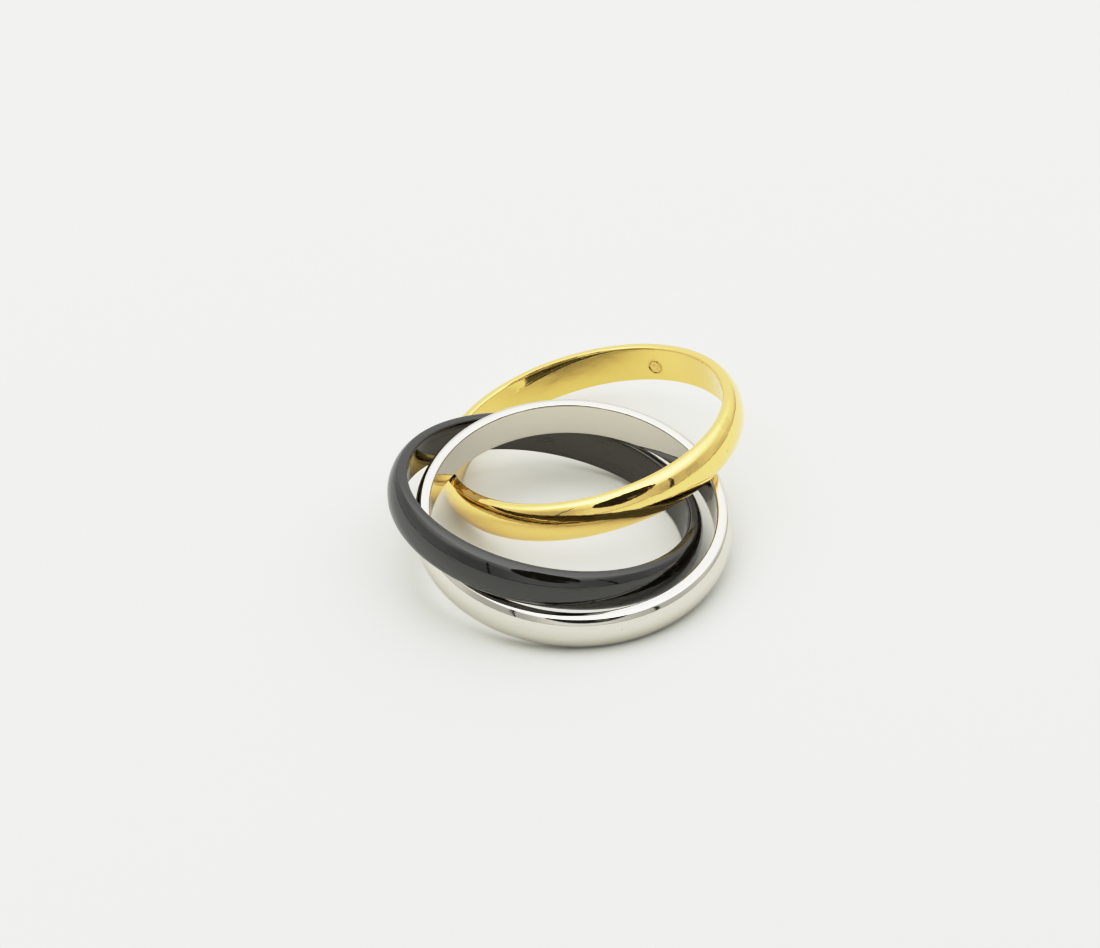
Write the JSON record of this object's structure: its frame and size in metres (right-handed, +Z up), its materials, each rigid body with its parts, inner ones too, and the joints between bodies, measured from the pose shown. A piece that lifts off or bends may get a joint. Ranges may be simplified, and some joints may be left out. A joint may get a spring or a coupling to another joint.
{
  "type": "rolling ring",
  "caption": "Finger ring of slim domed bands of equal size, each linked through the others so that they roll over one another when worn.",
  "frame": {"origin": "on the table that the ring lies on, under the middle of the box round the bands", "axes": "+Z up from the table; -Y towards the side where the silver band's low edge lies; +X to the right when seen from there"},
  "size_m": [0.0234, 0.0286, 0.0072],
  "materials": {
    "white_metal": "mirror polished white metal with hairline scratches",
    "black_ceramic": "gloss polished black ceramic",
    "yellow_metal": "mirror polished yellow gold with hairline scratches"
  },
  "bodies": {
    "silver_band": {"silver_band": "white_metal"},
    "black_band": {"black_band": "black_ceramic"},
    "gold_band": {"gold_band": "yellow_metal"}
  },
  "joints": [
    {"name": "black_band_roll", "type": "hinge", "parent": "silver_band", "child": "black_band", "pos_m": [-0.00154, -0.00317, 0.00338], "axis": [0.2054, 0.0735, 0.9759], "continuous": true},
    {"name": "gold_band_roll", "type": "hinge", "parent": "silver_band", "child": "gold_band", "pos_m": [0.00159, 0.00404, 0.00362], "axis": [-0.2327, 0.072, 0.9699], "continuous": true}
  ]
}
